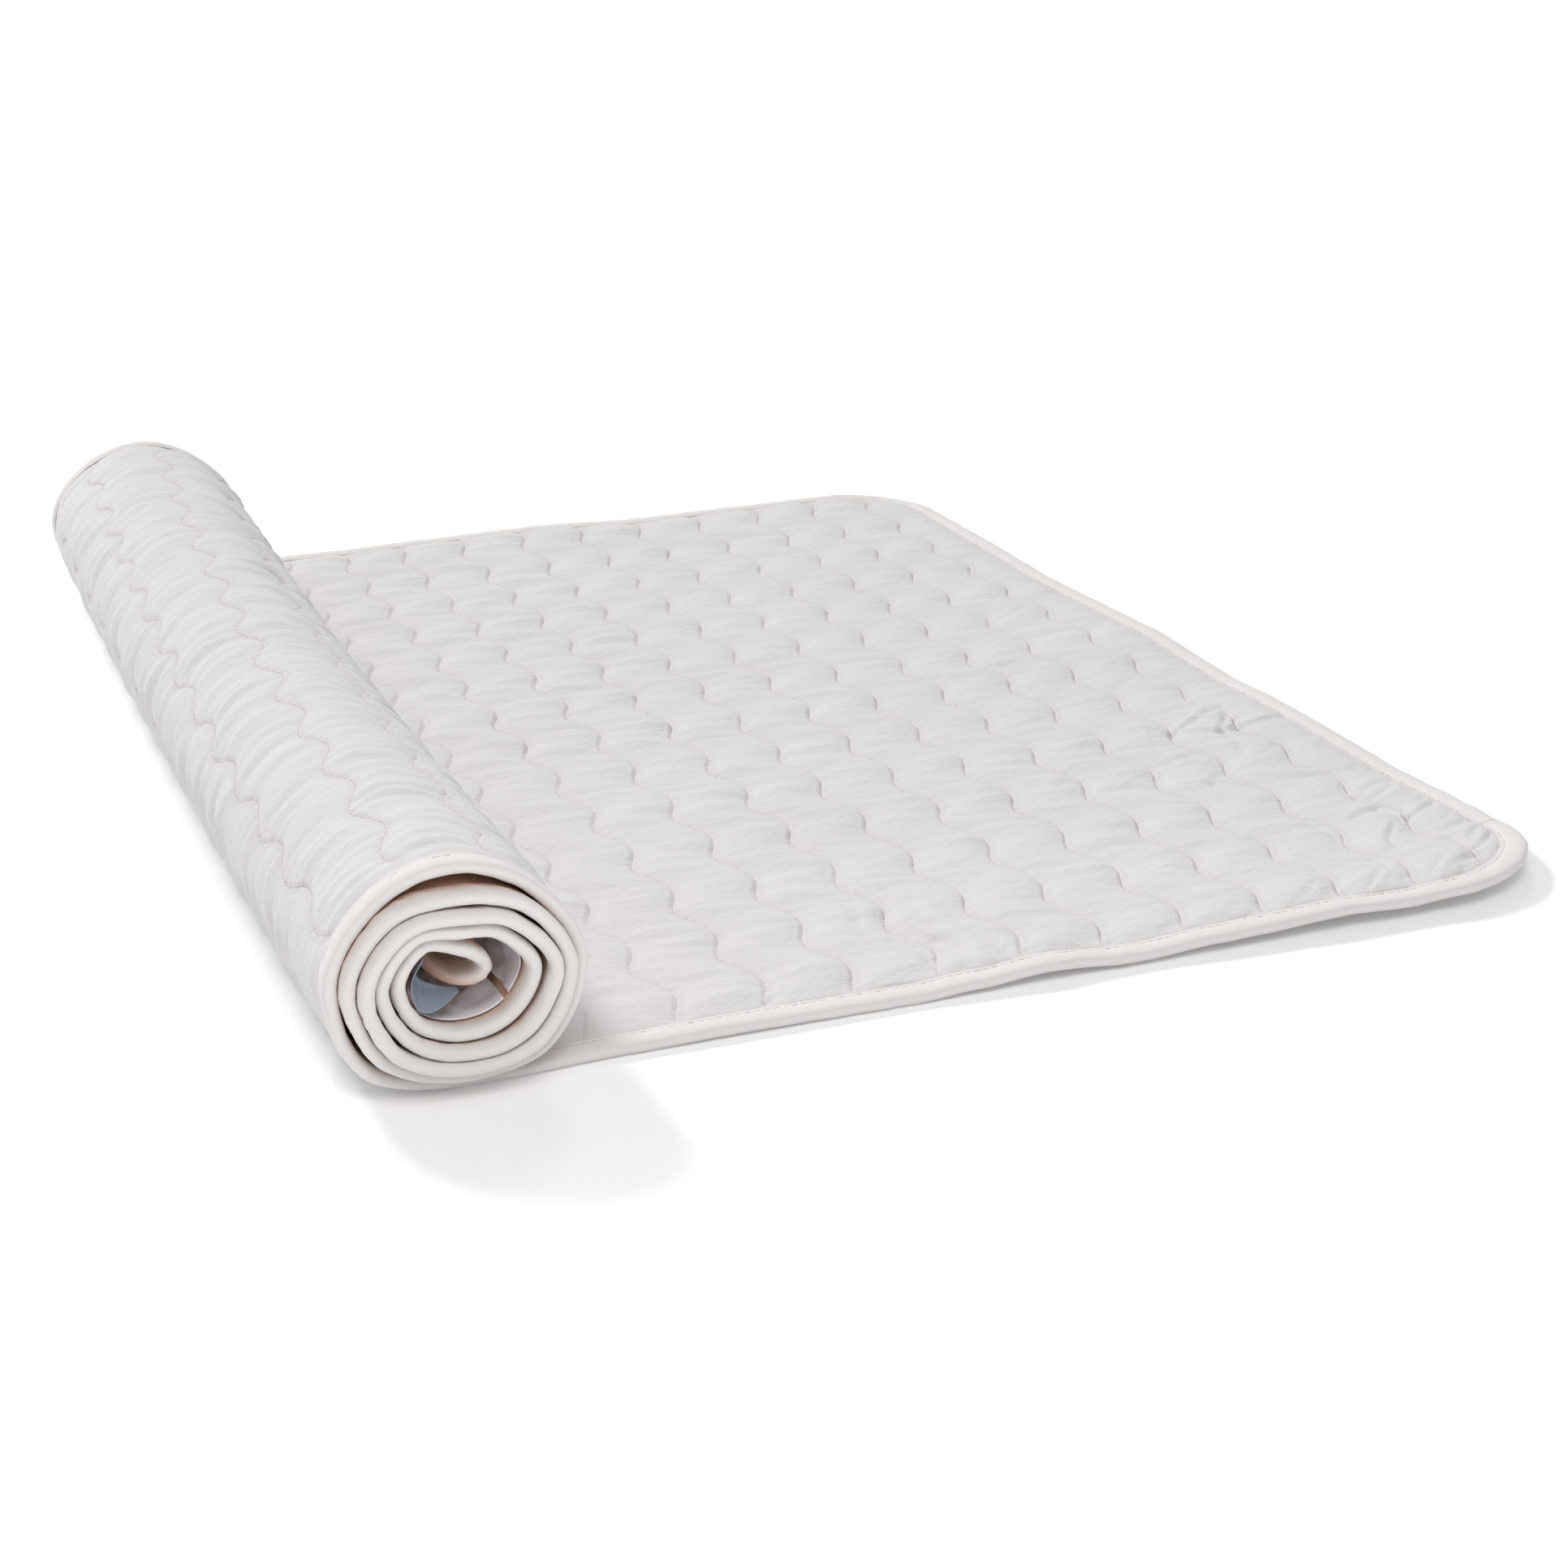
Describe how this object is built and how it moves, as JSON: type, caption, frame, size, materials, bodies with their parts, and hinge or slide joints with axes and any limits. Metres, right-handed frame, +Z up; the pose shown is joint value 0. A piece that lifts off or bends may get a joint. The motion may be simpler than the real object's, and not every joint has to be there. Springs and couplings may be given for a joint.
{
  "type": "rolled mattress protector",
  "caption": "Quilted cotton mattress protector with a bound edge, one end laid flat and the rest wound into an open roll.",
  "frame": {"origin": "on the floor, under the middle of the whole shape's box", "axes": "+X from the roll to the flat end, +Y along the roll away from its near end, +Z up"},
  "size_m": [0.5109, 0.716, 0.0856],
  "materials": {
    "cotton": "soft matte quilted cotton",
    "tape": "matte cotton tape",
    "blue_satin": "satin weave",
    "white_satin": "satin weave"
  },
  "bodies": {
    "root": {"quilted_panel": "cotton", "binding": "tape", "label_blue": "blue_satin", "label_white_lower": "white_satin", "label_white_upper": "white_satin"}
  },
  "joints": []
}
